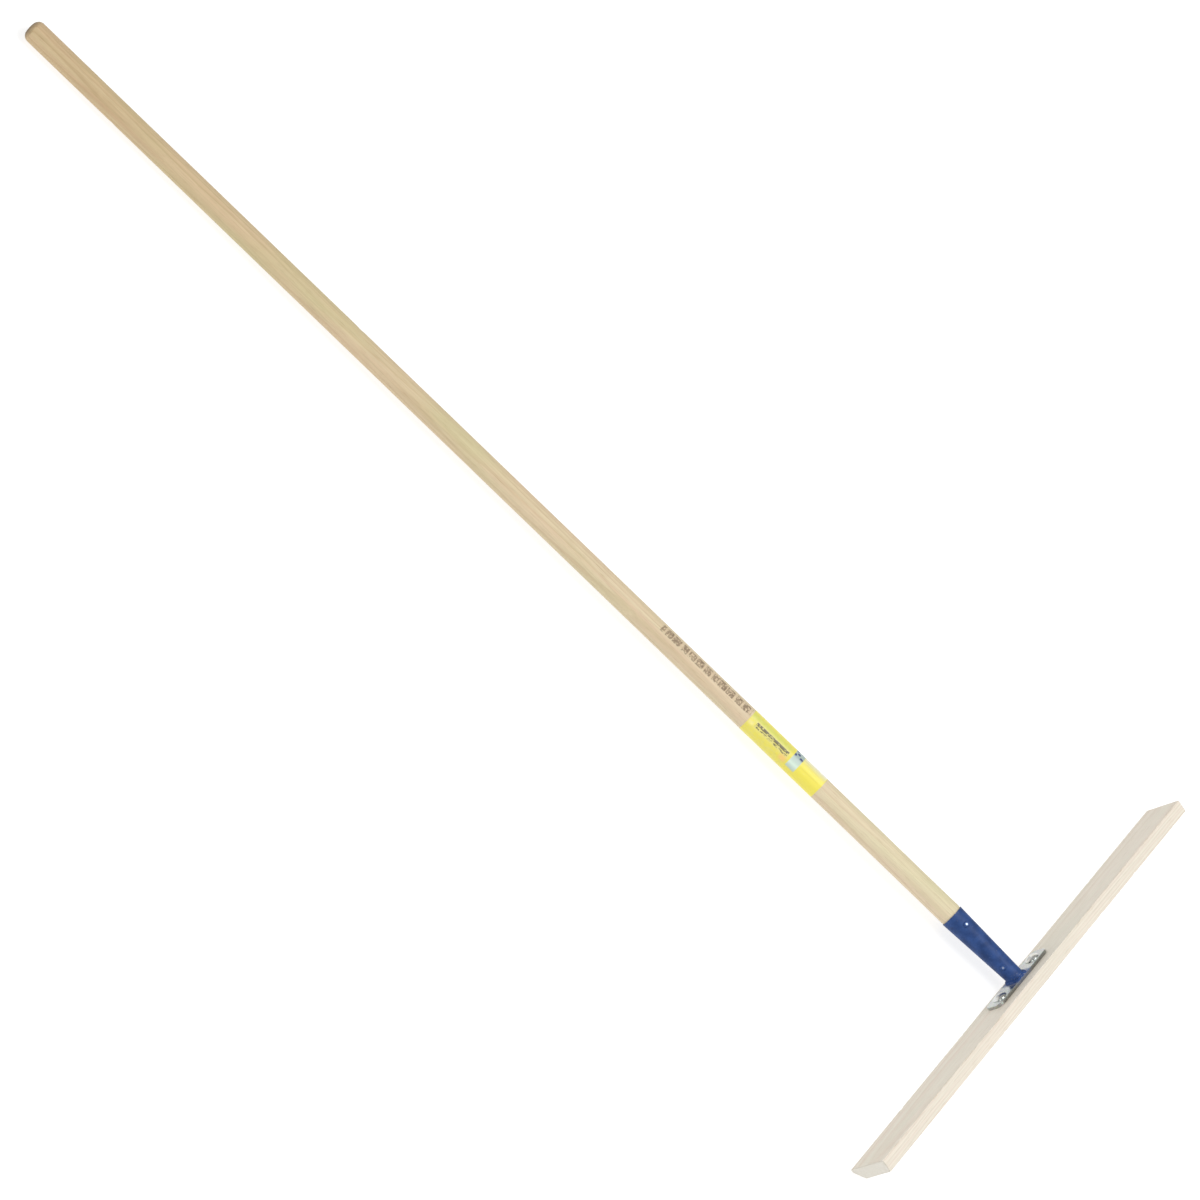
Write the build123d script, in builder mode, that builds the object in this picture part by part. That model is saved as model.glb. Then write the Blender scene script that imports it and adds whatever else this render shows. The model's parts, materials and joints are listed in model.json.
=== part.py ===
from build123d import *
import os
from math import atan2, cos, radians, sin, tan

# A long-handled wooden screed rake: a bevelled board, bolted to a steel foot with a
# socket, on a round wooden handle. All lengths are in millimetres.
#
# The tool lies on the floor, on the board's working edge and the handle's butt. +Z is
# up, +Y runs along the handle from the board to the butt, and +X runs along the board.
# The origin is on the floor, under the middle of the whole tool.

# ---- board ----
BOARD_LENGTH = 700.0
BOARD_HEIGHT = 54.0
BOARD_THICKNESS = 16.0
WORKING_EDGE_THICKNESS = 4.0  # flat left along the working edge, in front of the bevel
BEVEL_HEIGHT = 13.0  # how far the bevel climbs the board's back
BOARD_ARRIS = 0.8

# ---- handle ----
HANDLE_RADIUS = 14.0
HANDLE_REACH = 1573.0  # from the board's face to the butt, along the handle
HANDLE_TILT = 16.0  # degrees between the handle and the board's normal
BUTT_ROUND = 9.0
NOSE_START = 15.0  # end of the wood inside the socket, from the board's face
SHOULDER_LENGTH = 2.5  # short slope from the handle down to its fitted nose

# ---- steel socket, a cone that grips the handle's nose ----
SOCKET_WALL = 1.3
SOCKET_MOUTH = 107.0  # distance from the board's face, along the handle
SOCKET_MOUTH_RADIUS = 14.7
SOCKET_FOOT_RADIUS = 10.8  # level with the top of the bar
SOCKET_LIP_ROUND = 0.4
CUT_ALLOWANCE = 12.0  # spare length below the bar, trimmed off on the bar's face
WELD_LEG = 3.0

# ---- rivets through the socket and the wood ----
RIVET_RADIUS = 2.0
RIVET_HEAD_RADIUS = 3.6
RIVET_HEAD_HEIGHT = 1.7
RIVET_HEAD_SEAT = 0.9  # how far the head reaches down round the socket's curve
RIVET_HEAD_ROUND = 1.5
RIVETS = {
    # name: (distance from the board's face, degrees from straight up towards -X)
    "socket_rivet_upper": (89.0, 21.0),
    "socket_rivet_lower": (24.0, 50.0),
}

# ---- flat steel bar, across the board's face ----
BAR_LENGTH = 112.0
BAR_WIDTH = 26.0
BAR_THICKNESS = 4.0
BAR_CORNER = 8.0
BAR_ARRIS = 0.5
BAR_OFFSET = -2.0  # from the board's middle line, towards the working edge

# ---- M8 carriage bolts, with their heads on the bar and their nuts behind the board ----
BOLT_SPACING = 76.0
BOLT_RADIUS = 4.0
BOLT_HEAD_RADIUS = 9.0
BOLT_HEAD_HEIGHT = 4.2
BOLT_HEAD_RIM = 0.7  # straight edge under the dome
BOLT_END_PAST_NUT = 3.0
BOLT_END_CHAMFER = 0.8
NECK_SIDE = 8.0  # square neck, as deep as the bar
BOARD_HOLE_RADIUS = 4.3
WASHER_RADIUS = 10.0
WASHER_HOLE_RADIUS = 4.2
WASHER_THICKNESS = 1.6
NUT_ACROSS_FLATS = 13.0
NUT_THICKNESS = 6.5
NUT_CHAMFER = 0.7

# ---- wrap-round label on the handle ----
LABEL_START = 318.0
LABEL_END = 432.0
LABEL_THICKNESS = 0.2
LABEL_GAP = 3.0  # between the label's two ends, on the side towards the floor

# ---- how the tool lies ----
tilt = radians(HANDLE_TILT)
edge_below_axis = BOARD_HEIGHT / 2 * cos(tilt) + WORKING_EDGE_THICKNESS * sin(tilt)
edge_along_axis = BOARD_HEIGHT / 2 * sin(tilt) - WORKING_EDGE_THICKNESS * cos(tilt)
butt_contact = HANDLE_REACH - BUTT_ROUND
slope = atan2(edge_below_axis - HANDLE_RADIUS, butt_contact - edge_along_axis)
lean = tilt - slope

# The foot is the point where the handle's axis meets the board's face. The tool reaches
# from the ends of the bolts, behind the board, to the butt.
butt_from_foot = HANDLE_REACH * cos(slope)
bolt_length = BOARD_THICKNESS + WASHER_THICKNESS + NUT_THICKNESS + BOLT_END_PAST_NUT
bolt_end_height = BAR_OFFSET + BOLT_RADIUS - BOLT_END_CHAMFER
back_from_foot = -(bolt_length * cos(lean) + bolt_end_height * sin(lean))
foot = Vector(
    0,
    -(butt_from_foot + back_from_foot) / 2,
    edge_below_axis * cos(slope) + edge_along_axis * sin(slope),
)
handle_direction = Vector(0, cos(slope), -sin(slope))
handle_axis = Axis(foot, handle_direction)

# Sketches on axis_plane have x = distance from the axis and y = distance from the foot.
axis_plane = Plane(foot, x_dir=(1, 0, 0), z_dir=Vector(1, 0, 0).cross(handle_direction))
# Sketches on cross_plane are sections across the handle, with y upwards.
cross_plane = Plane(foot, x_dir=(-1, 0, 0), z_dir=handle_direction)
# Sketches on face_plane lie on the board's face: x along the board, y up the board.
face_plane = Plane(foot, x_dir=(-1, 0, 0), z_dir=(0, cos(lean), sin(lean)))
bar_top_plane = face_plane.offset(BAR_THICKNESS)
face_axis = Axis(foot, face_plane.z_dir)
back_plane = face_plane.offset(-BOARD_THICKNESS)
bolt_centres = [(-BOLT_SPACING / 2, BAR_OFFSET), (BOLT_SPACING / 2, BAR_OFFSET)]


def socket_radius(distance):
    """Outer radius of the socket, at a distance from the board's face."""
    share = (distance - BAR_THICKNESS) / (SOCKET_MOUTH - BAR_THICKNESS)
    return SOCKET_FOOT_RADIUS + share * (SOCKET_MOUTH_RADIUS - SOCKET_FOOT_RADIUS)


def rivet_plane(distance, degrees_from_up):
    """Plane through the handle's axis, whose normal is the rivet's direction."""
    section = cross_plane.offset(distance)
    turn = radians(degrees_from_up)
    direction = section.x_dir * sin(turn) + section.y_dir * cos(turn)
    return Plane(section.origin, x_dir=handle_direction, z_dir=direction)


def bolt_plane(centre):
    """Plane through one bolt's axis: x along the board, y out of the board's face."""
    origin = face_plane.from_local_coords((*centre, 0))
    return Plane(origin, x_dir=face_plane.x_dir, z_dir=-face_plane.y_dir)


# ---- handle ----
with BuildPart() as handle:
    with BuildSketch(axis_plane):
        with BuildLine():
            Polyline(
                (0, HANDLE_REACH),
                (0, NOSE_START),
                (socket_radius(NOSE_START) - SOCKET_WALL, NOSE_START),
                (SOCKET_MOUTH_RADIUS - SOCKET_WALL, SOCKET_MOUTH),
                (HANDLE_RADIUS, SOCKET_MOUTH + SHOULDER_LENGTH),
                (HANDLE_RADIUS, HANDLE_REACH - BUTT_ROUND),
            )
            RadiusArc(
                (HANDLE_RADIUS, HANDLE_REACH - BUTT_ROUND),
                (HANDLE_RADIUS - BUTT_ROUND, HANDLE_REACH),
                -BUTT_ROUND,
            )
            Line((HANDLE_RADIUS - BUTT_ROUND, HANDLE_REACH), (0, HANDLE_REACH))
        make_face()
    revolve(axis=handle_axis)
    for distance, angle in RIVETS.values():
        with BuildSketch(rivet_plane(distance, angle)):
            Circle(RIVET_RADIUS)
        extrude(amount=HANDLE_RADIUS, both=True, mode=Mode.SUBTRACT)
handle.part.label = "handle"

# ---- socket: the outside first, which also shapes the weld and the rivet heads ----
with BuildPart() as socket_outside:
    with BuildSketch(axis_plane):
        Polygon(
            (0, -CUT_ALLOWANCE),
            (socket_radius(-CUT_ALLOWANCE), -CUT_ALLOWANCE),
            (SOCKET_MOUTH_RADIUS, SOCKET_MOUTH),
            (0, SOCKET_MOUTH),
            align=None,
        )
    revolve(axis=handle_axis)
    split(bisect_by=bar_top_plane, keep=Keep.TOP)

with BuildPart() as handle_socket:
    add(socket_outside.part)
    with BuildSketch(axis_plane):
        Polygon(
            (0, -CUT_ALLOWANCE),
            (socket_radius(-CUT_ALLOWANCE) - SOCKET_WALL, -CUT_ALLOWANCE),
            (SOCKET_MOUTH_RADIUS - SOCKET_WALL, SOCKET_MOUTH),
            (0, SOCKET_MOUTH),
            align=None,
        )
    revolve(axis=handle_axis, mode=Mode.SUBTRACT)
    fillet(handle_socket.edges().sort_by(handle_axis)[-1], SOCKET_LIP_ROUND)
    for distance, angle in RIVETS.values():
        with BuildSketch(rivet_plane(distance, angle)):
            Circle(RIVET_RADIUS)
        extrude(amount=HANDLE_RADIUS + SOCKET_WALL, both=True, mode=Mode.SUBTRACT)
handle_socket.part.label = "handle_socket"

# ---- weld bead between the socket's foot and the bar ----
with BuildPart() as socket_weld:
    with BuildSketch(bar_top_plane):
        with Locations((0, -BAR_THICKNESS * tan(tilt))):
            Ellipse(SOCKET_FOOT_RADIUS + WELD_LEG, SOCKET_FOOT_RADIUS / cos(tilt) + WELD_LEG)
    extrude(amount=WELD_LEG, taper=45)
    with BuildSketch(bar_top_plane):
        with Locations((0, BAR_OFFSET)):
            Rectangle(BAR_LENGTH, BAR_WIDTH - 2 * BAR_ARRIS)
    extrude(amount=WELD_LEG, mode=Mode.INTERSECT)
    add(socket_outside.part, mode=Mode.SUBTRACT)
socket_weld.part.label = "socket_weld"

# ---- rivets ----
rivet_parts = []
for name, (distance, angle) in RIVETS.items():
    outer_radius = socket_radius(distance)
    plane = rivet_plane(distance, angle)
    with BuildPart() as rivet:
        for side in (plane, Plane(plane.origin, x_dir=plane.x_dir, z_dir=-plane.z_dir)):
            with BuildSketch(side):
                Circle(RIVET_RADIUS)
            extrude(amount=outer_radius)
            with BuildSketch(side.offset(outer_radius - RIVET_HEAD_SEAT)):
                Circle(RIVET_HEAD_RADIUS)
            extrude(amount=RIVET_HEAD_SEAT + RIVET_HEAD_HEIGHT)
            fillet(rivet.edges().sort_by(Axis(side.origin, side.z_dir))[-1], RIVET_HEAD_ROUND)
        add(handle_socket.part, mode=Mode.SUBTRACT)
        add(handle.part, mode=Mode.SUBTRACT)
    rivet.part.label = name
    rivet_parts.append(rivet.part)

# ---- bar ----
with BuildPart() as bracket_bar:
    with BuildSketch(face_plane):
        with Locations((0, BAR_OFFSET)):
            RectangleRounded(BAR_LENGTH, BAR_WIDTH, BAR_CORNER)
    extrude(amount=BAR_THICKNESS)
    chamfer(bracket_bar.faces().sort_by(face_axis)[-1].edges(), BAR_ARRIS)
    with BuildSketch(face_plane):
        with Locations(bolt_centres):
            Rectangle(NECK_SIDE, NECK_SIDE)
    extrude(amount=BAR_THICKNESS, mode=Mode.SUBTRACT)
bracket_bar.part.label = "bracket_bar"

# ---- board, drawn as its end section and pulled out along its length ----
# On end_plane, x runs up the board and y runs out of its face.
end_plane = Plane(foot, x_dir=face_plane.y_dir, z_dir=face_plane.x_dir)
with BuildPart() as screed_board:
    with BuildSketch(end_plane):
        Polygon(
            (-BOARD_HEIGHT / 2, 0),
            (-BOARD_HEIGHT / 2, -WORKING_EDGE_THICKNESS),
            (-BOARD_HEIGHT / 2 + BEVEL_HEIGHT, -BOARD_THICKNESS),
            (BOARD_HEIGHT / 2, -BOARD_THICKNESS),
            (BOARD_HEIGHT / 2, 0),
            align=None,
        )
    extrude(amount=BOARD_LENGTH / 2, both=True)
    fillet(screed_board.edges(), BOARD_ARRIS)
    with BuildSketch(face_plane):
        with Locations(bolt_centres):
            Circle(BOARD_HOLE_RADIUS)
    extrude(amount=-BOARD_THICKNESS, mode=Mode.SUBTRACT)
screed_board.part.label = "screed_board"

# ---- carriage bolts: domed heads, square necks in the bar, shanks through the board ----
dome_rise = BOLT_HEAD_HEIGHT - BOLT_HEAD_RIM
dome_radius = (BOLT_HEAD_RADIUS**2 + dome_rise**2) / (2 * dome_rise)
with BuildPart() as carriage_bolts:
    for centre in bolt_centres:
        plane = bolt_plane(centre)
        with BuildSketch(plane):
            with BuildLine():
                Polyline(
                    (0, BAR_THICKNESS + BOLT_HEAD_HEIGHT),
                    (0, -bolt_length),
                    (BOLT_RADIUS - BOLT_END_CHAMFER, -bolt_length),
                    (BOLT_RADIUS, BOLT_END_CHAMFER - bolt_length),
                    (BOLT_RADIUS, BAR_THICKNESS),
                    (BOLT_HEAD_RADIUS, BAR_THICKNESS),
                    (BOLT_HEAD_RADIUS, BAR_THICKNESS + BOLT_HEAD_RIM),
                )
                RadiusArc(
                    (BOLT_HEAD_RADIUS, BAR_THICKNESS + BOLT_HEAD_RIM),
                    (0, BAR_THICKNESS + BOLT_HEAD_HEIGHT),
                    -dome_radius,
                )
            make_face()
        revolve(axis=Axis(plane.origin, plane.y_dir))
    with BuildSketch(face_plane):
        with Locations(bolt_centres):
            Rectangle(NECK_SIDE, NECK_SIDE)
    extrude(amount=BAR_THICKNESS)
carriage_bolts.part.label = "carriage_bolts"

# ---- washers and nuts, behind the board ----
with BuildPart() as bolt_washers:
    with BuildSketch(back_plane):
        with Locations(bolt_centres):
            Circle(WASHER_RADIUS)
            Circle(WASHER_HOLE_RADIUS, mode=Mode.SUBTRACT)
    extrude(amount=-WASHER_THICKNESS)
bolt_washers.part.label = "bolt_washers"

with BuildPart() as bolt_nuts:
    nut_base = back_plane.offset(-WASHER_THICKNESS)
    with BuildSketch(nut_base):
        with Locations(bolt_centres):
            RegularPolygon(NUT_ACROSS_FLATS / 2, 6, major_radius=False)
    extrude(amount=-NUT_THICKNESS)
    with BuildSketch(nut_base.offset(-NUT_THICKNESS)):
        with Locations(bolt_centres):
            Circle(NUT_ACROSS_FLATS / 2 + NUT_CHAMFER / 2)
    extrude(amount=NUT_THICKNESS, taper=-45, mode=Mode.INTERSECT)
    with BuildSketch(nut_base):
        with Locations(bolt_centres):
            Circle(BOLT_RADIUS)
    extrude(amount=-NUT_THICKNESS, mode=Mode.SUBTRACT)
bolt_nuts.part.label = "bolt_nuts"

# ---- label, wrapped round the handle with its two ends nearly meeting underneath ----
with BuildPart() as handle_label:
    with BuildSketch(cross_plane.offset(LABEL_START)):
        Circle(HANDLE_RADIUS + LABEL_THICKNESS)
        Circle(HANDLE_RADIUS, mode=Mode.SUBTRACT)
        with Locations((0, -HANDLE_RADIUS)):
            Rectangle(LABEL_GAP, HANDLE_RADIUS, mode=Mode.SUBTRACT)
    extrude(amount=LABEL_END - LABEL_START)
handle_label.part.label = "handle_label"

pieces = [
    handle.part,
    handle_socket.part,
    socket_weld.part,
    *rivet_parts,
    bracket_bar.part,
    screed_board.part,
    carriage_bolts.part,
    bolt_washers.part,
    bolt_nuts.part,
    handle_label.part,
]
os.makedirs("parts", exist_ok=True)
for piece in pieces:
    export_step(piece, f"parts/{piece.label}.step")
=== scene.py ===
import json
import math
import random

import bmesh
import bpy
from mathutils import Matrix, Vector, noise


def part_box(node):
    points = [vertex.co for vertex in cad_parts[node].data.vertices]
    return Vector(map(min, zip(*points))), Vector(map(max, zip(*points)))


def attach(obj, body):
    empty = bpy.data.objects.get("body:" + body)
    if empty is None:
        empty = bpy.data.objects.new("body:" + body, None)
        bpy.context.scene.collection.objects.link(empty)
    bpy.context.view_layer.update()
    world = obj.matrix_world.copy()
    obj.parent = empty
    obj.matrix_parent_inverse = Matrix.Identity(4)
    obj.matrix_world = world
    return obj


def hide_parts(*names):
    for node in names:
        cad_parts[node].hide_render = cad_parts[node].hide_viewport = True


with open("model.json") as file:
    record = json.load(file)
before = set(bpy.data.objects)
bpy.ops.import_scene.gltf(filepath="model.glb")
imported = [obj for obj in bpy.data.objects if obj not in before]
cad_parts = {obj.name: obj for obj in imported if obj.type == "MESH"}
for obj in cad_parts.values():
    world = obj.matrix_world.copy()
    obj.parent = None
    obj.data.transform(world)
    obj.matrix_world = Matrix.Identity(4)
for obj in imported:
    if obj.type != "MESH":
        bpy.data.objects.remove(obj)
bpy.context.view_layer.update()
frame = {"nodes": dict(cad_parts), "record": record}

# A long-handled wooden screed rake, lying on a pale floor. Lengths are in metres, in the
# CAD frame: +X along the board, +Y along the handle to the butt, +Z up, floor at z = 0.

NODES = frame["nodes"]
MOUNTS = {mount["name"]: mount for mount in frame["record"]["mounts"]}

# ---------------------------------------------------------------- frame of the tool
MM = 0.001
WELD_DISTANCE = 0.000001  # points closer than this are one
HANDLE_DIR = Vector(MOUNTS["pole"]["axis"]).normalized()
HANDLE_RADIUS = MOUNTS["pole"]["dims"]["r_mm"] * MM
BOARD_UP = Vector(MOUNTS["board_top_edge"]["axis"]).normalized()
ACROSS = Vector((1, 0, 0))
FACE_NORMAL = BOARD_UP.cross(ACROSS)


def reach(node, direction, lowest=False):
    """How far a CAD node's mesh reaches along a direction, from the frame's origin."""
    heights = [vertex.co.dot(direction) for vertex in NODES[node].data.vertices]
    return min(heights) if lowest else max(heights)


def handle_foot():
    """The point where the handle's axis meets the board's face."""
    on_axis = Vector(MOUNTS["pole"]["pos_m"])
    to_face = reach("screed_board", FACE_NORMAL) - on_axis.dot(FACE_NORMAL)
    return on_axis + HANDLE_DIR * to_face / HANDLE_DIR.dot(FACE_NORMAL)


FOOT = handle_foot()
HANDLE_UP = ACROSS.cross(HANDLE_DIR)
# Handle space: y along the handle from the board's face, z up. Board space: x along the
# board, y up it, z out of its face. Both start at the foot.
HANDLE_TURN = (math.asin(HANDLE_DIR.z), 0, 0)
BOARD_TURN = Matrix((-ACROSS, BOARD_UP, FACE_NORMAL)).transposed().to_euler()


def along_handle(node, lowest=False):
    """Where a node ends, as a distance from the board's face along the handle."""
    return reach(node, HANDLE_DIR, lowest) - FOOT.dot(HANDLE_DIR)


def board_point(x, y, z):
    """A point given in board space."""
    return FOOT - ACROSS * x + BOARD_UP * y + FACE_NORMAL * z


def handle_point(distance, turn, radius):
    """A point round the handle; turn is the angle from straight up towards -X."""
    out = HANDLE_UP * math.cos(turn) - ACROSS * math.sin(turn)
    return FOOT + HANDLE_DIR * distance + out * radius


HANDLE_END = along_handle("handle")
SOCKET_MOUTH = along_handle("handle_socket")
LABEL = (along_handle("handle_label", lowest=True), along_handle("handle_label"))
BAR_TOP = reach("bracket_bar", FACE_NORMAL) - FOOT.dot(FACE_NORMAL)
BAR_EDGES = (
    reach("bracket_bar", BOARD_UP, lowest=True) - FOOT.dot(BOARD_UP),
    reach("bracket_bar", BOARD_UP) - FOOT.dot(BOARD_UP),
)


# ---------------------------------------------------------------- shader node helper
class Graph:
    """A material under construction, with short calls for the nodes that it needs."""

    def __init__(self, name):
        self.material = bpy.data.materials.new(name)
        self.material.use_nodes = True
        self.tree = self.material.node_tree
        self.tree.nodes.clear()
        output = self.tree.nodes.new("ShaderNodeOutputMaterial")
        self.shader = self.tree.nodes.new("ShaderNodeBsdfPrincipled")
        self.link(self.shader.outputs["BSDF"], output.inputs["Surface"])

    def link(self, source, target):
        self.tree.links.new(source, target)

    def put(self, socket, value):
        """Links a socket to a node's output, or sets it to a number or colour."""
        if isinstance(value, bpy.types.NodeSocket):
            self.link(value, socket)
        elif value is not None:
            socket.default_value = value

    def set(self, **values):
        """Sets the Principled shader's sockets; an underscore stands for a space."""
        for name, value in values.items():
            self.put(self.shader.inputs[name.replace("_", " ")], value)

    def place(self, location, turn):
        """Object coordinates, moved into a space with this origin and turn."""
        coordinates = self.tree.nodes.new("ShaderNodeTexCoord")
        mapping = self.tree.nodes.new("ShaderNodeMapping")
        mapping.vector_type = "TEXTURE"
        mapping.inputs["Location"].default_value = location
        mapping.inputs["Rotation"].default_value = turn
        self.link(coordinates.outputs["Object"], mapping.inputs["Vector"])
        return mapping.outputs["Vector"]

    def math(self, operation, a, b=None, c=None, clamp=False):
        node = self.tree.nodes.new("ShaderNodeMath")
        node.operation = operation
        node.use_clamp = clamp
        for socket, value in zip(node.inputs, (a, b, c)):
            self.put(socket, value)
        return node.outputs[0]

    def split(self, vector):
        node = self.tree.nodes.new("ShaderNodeSeparateXYZ")
        self.put(node.inputs[0], vector)
        return node.outputs[0], node.outputs[1], node.outputs[2]

    def join(self, x, y, z):
        node = self.tree.nodes.new("ShaderNodeCombineXYZ")
        for socket, value in zip(node.inputs, (x, y, z)):
            self.put(socket, value)
        return node.outputs[0]

    def stretch(self, vector, x, y, z, offset=(0, 0, 0)):
        """The vector, scaled along its axes and moved."""
        node = self.tree.nodes.new("ShaderNodeMapping")
        node.inputs["Location"].default_value = offset
        node.inputs["Scale"].default_value = (x, y, z)
        self.put(node.inputs["Vector"], vector)
        return node.outputs["Vector"]

    def noise(self, vector, scale=1.0, detail=2.0, roughness=0.5, distortion=0.0):
        node = self.tree.nodes.new("ShaderNodeTexNoise")
        self.put(node.inputs["Vector"], vector)
        for name, value in (
            ("Scale", scale),
            ("Detail", detail),
            ("Roughness", roughness),
            ("Distortion", distortion),
        ):
            node.inputs[name].default_value = value
        return node.outputs["Fac"]

    def cells(self, vector, scale=1.0, feature="F1", output="Distance"):
        node = self.tree.nodes.new("ShaderNodeTexVoronoi")
        node.feature = feature
        node.inputs["Scale"].default_value = scale
        self.put(node.inputs["Vector"], vector)
        return node.outputs[output]

    def random(self, vector):
        node = self.tree.nodes.new("ShaderNodeTexWhiteNoise")
        self.put(node.inputs["Vector"], vector)
        return node.outputs["Value"]

    def range(self, value, low, high, to_low=0.0, to_high=1.0, smooth=False):
        """value from low..high to to_low..to_high, held at both ends."""
        node = self.tree.nodes.new("ShaderNodeMapRange")
        node.interpolation_type = "SMOOTHSTEP" if smooth else "LINEAR"
        for socket, number in zip(node.inputs, (value, low, high, to_low, to_high)):
            self.put(socket, number)
        return node.outputs[0]

    def mix(self, share, a, b, blend="MIX"):
        node = self.tree.nodes.new("ShaderNodeMix")
        node.data_type = "RGBA"
        node.blend_type = blend
        self.put(node.inputs[0], share)
        self.put(node.inputs[6], a)
        self.put(node.inputs[7], b)
        return node.outputs[2]

    def ramp(self, value, stops):
        node = self.tree.nodes.new("ShaderNodeValToRGB")
        elements = node.color_ramp.elements
        while len(elements) < len(stops):
            elements.new(0.5)
        for element, (position, colour) in zip(elements, stops):
            element.position = position
            element.color = colour
        self.put(node.inputs[0], value)
        return node.outputs[0]

    def bump(self, height, distance, strength=1.0):
        """Tilts the surface by a height from 0 to 1 that stands for this distance."""
        node = self.tree.nodes.new("ShaderNodeBump")
        node.inputs["Strength"].default_value = strength
        node.inputs["Distance"].default_value = distance
        self.put(node.inputs["Height"], height)
        self.link(node.outputs["Normal"], self.shader.inputs["Normal"])

    def window(self, value, low, high, edge):
        """1 between low and high, 0 outside, with soft edges of this width."""
        rise = self.range(value, low - edge, low + edge)
        fall = self.range(value, high - edge, high + edge, 1.0, 0.0)
        return self.math("MULTIPLY", rise, fall)

    def patch(self, a, span_a, b, span_b):
        """1 where both values are inside their windows (low, high, edge), 0 outside."""
        return self.math("MULTIPLY", self.window(a, *span_a), self.window(b, *span_b))


def rgb(red, green, blue):
    """Linear colour with full alpha."""
    return (red, green, blue, 1.0)


# ---------------------------------------------------------------- wood
# Early wood, late wood, a warmer cast and a cooler cast.
HANDLE_TONES = (
    rgb(0.735, 0.635, 0.445),
    rgb(0.515, 0.385, 0.220),
    rgb(0.755, 0.575, 0.425),
    rgb(0.645, 0.610, 0.375),
)
BOARD_TONES = (
    rgb(0.800, 0.752, 0.645),
    rgb(0.640, 0.535, 0.405),
    rgb(0.815, 0.695, 0.600),
    rgb(0.750, 0.722, 0.605),
)


def growth_rings(g, place, pith, spacing, wander):
    """0 in a ring's pale early wood to 1 in its dark late wood. Grain runs along y."""
    x, y, z = g.split(place)
    sway_x = g.noise(g.join(3.1, y, 0.0), 2.2, 1.0)
    sway_z = g.noise(g.join(9.7, y, 0.0), 1.7, 1.0)
    dx = g.math("ADD", x, g.math("MULTIPLY_ADD", sway_x, wander, -wander / 2 - pith[0]))
    dz = g.math("ADD", z, g.math("MULTIPLY_ADD", sway_z, wander, -wander / 2 - pith[1]))
    square = g.math("ADD", g.math("MULTIPLY", dx, dx), g.math("MULTIPLY", dz, dz))
    ripple = g.math("MULTIPLY", g.noise(g.stretch(place, 90, 7, 90), 1.0, 2.0), spacing * 0.9)
    radius = g.math("ADD", g.math("SQRT", square), ripple)
    turn = g.math("FRACT", g.math("DIVIDE", radius, spacing))
    rise = g.math("POWER", turn, 2.2)
    drop = g.range(turn, 0.90, 1.0, 1.0, 0.0, smooth=True)
    return g.math("MULTIPLY", rise, drop)


def wood(g, place, rings, tones, ring_share, fibre_share):
    """Colour, roughness and height of bare wood whose grain runs along y."""
    early, late, warm, cool = tones
    fibre = g.noise(g.stretch(place, 1500, 22, 1500), 1.0, 3.0, 0.6)
    streak = g.noise(g.stretch(place, 260, 3.0, 260), 1.0, 3.0, 0.55)
    broad = g.noise(g.stretch(place, 26, 5.5, 26), 1.0, 2.0)
    pore = g.range(g.noise(g.stretch(place, 2600, 55, 2600), 1.0, 1.0), 0.63, 0.72)
    colour = g.mix(g.math("MULTIPLY", rings, ring_share), early, late)
    colour = g.mix(g.range(streak, 0.35, 0.75, 0.0, 0.65), colour, warm)
    colour = g.mix(g.range(broad, 0.45, 0.70, 0.0, 0.7), colour, cool)
    tone = g.range(fibre, 0.25, 0.75, 1.0 - fibre_share, 1.0 + fibre_share * 0.6)
    colour = g.mix(1.0, colour, g.join(tone, tone, tone), "MULTIPLY")
    colour = g.mix(g.math("MULTIPLY", pore, 0.35), colour, late, "MULTIPLY")
    grain = g.math("MULTIPLY_ADD", rings, 0.35, fibre)
    height = g.math("SUBTRACT", grain, g.math("MULTIPLY", pore, 0.6))
    roughness = g.range(fibre, 0.3, 0.7, 0.62, 0.50)
    return colour, roughness, height


def handle_wood():
    """Pale, straight-grained pole, browner and dirtier towards the butt."""
    g = Graph("handle_wood")
    place = g.place(FOOT, HANDLE_TURN)
    x, y, z = g.split(place)
    rings = growth_rings(g, place, pith=(0.034, -0.022), spacing=0.0027, wander=0.012)
    colour, roughness, height = wood(
        g, place, rings, HANDLE_TONES, ring_share=0.62, fibre_share=0.13
    )
    colour = handle_age(g, place, y, colour)
    colour = burned_marks(g, x, y, z, colour)
    g.set(Base_Color=colour, Roughness=roughness, Specular_IOR_Level=0.35)
    g.bump(height, 0.00012, 0.55)
    return g.material


def handle_age(g, place, y, colour):
    """Handling and weather darken the upper part, and the butt's end most of all."""
    blotch = g.noise(g.stretch(place, 70, 14, 70), 1.0, 3.0)
    aged = g.range(g.math("MULTIPLY_ADD", blotch, 0.25, y), 0.35, HANDLE_END + 0.05)
    colour = g.mix(aged, colour, g.mix(1.0, colour, rgb(0.86, 0.775, 0.645), "MULTIPLY"))
    worn_from = g.math("MULTIPLY_ADD", blotch, 0.008, y)
    dirt = g.range(worn_from, HANDLE_END - 0.0035, HANDLE_END + 0.0035)
    return g.mix(dirt, colour, g.mix(1.0, colour, rgb(0.34, 0.31, 0.29), "MULTIPLY"))


MARKS = (0.434, 0.576)  # burned marks' start and end, from the board's face
MARKS_TURN = math.radians(3)  # their middle, from straight up towards -X
MARKS_TALL = 0.0102
MARK_CELL = 0.00135
MARK_CELLS_IN_GROUP = 9


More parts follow.
